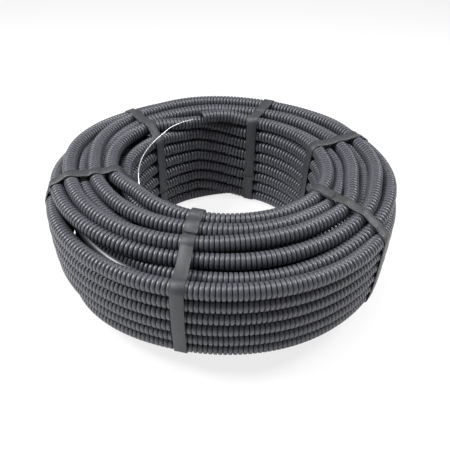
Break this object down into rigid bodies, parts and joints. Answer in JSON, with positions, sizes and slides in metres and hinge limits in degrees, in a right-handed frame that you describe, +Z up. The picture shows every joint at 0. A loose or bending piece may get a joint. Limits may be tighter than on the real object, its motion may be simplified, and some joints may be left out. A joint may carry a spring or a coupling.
{
  "type": "coil of corrugated conduit",
  "caption": "Strapped coil of flexible corrugated electrical conduit lying flat, with an open free end and its draw wire.",
  "frame": {"origin": "on the floor that the coil lies on, at the coil's axis", "axes": "+Z up along the coil's axis; the free end and its mouth lie on the +Y side, and the side where the draw wire comes down to the floor is -X -Y"},
  "size_m": [0.49, 0.49, 0.1709],
  "materials": {
    "conduit_plastic": "moulded corrugated polymer, satin, dark grey",
    "strap_weave": "woven polyester strapping, dark grey",
    "wire_steel": "bright zinc-plated steel wire"
  },
  "bodies": {
    "root": {"conduit": "conduit_plastic", "strap_1": "strap_weave", "strap_2": "strap_weave", "strap_3": "strap_weave", "strap_4": "strap_weave", "strap_5": "strap_weave", "strap_6": "strap_weave", "draw_wire": "wire_steel"}
  },
  "joints": []
}
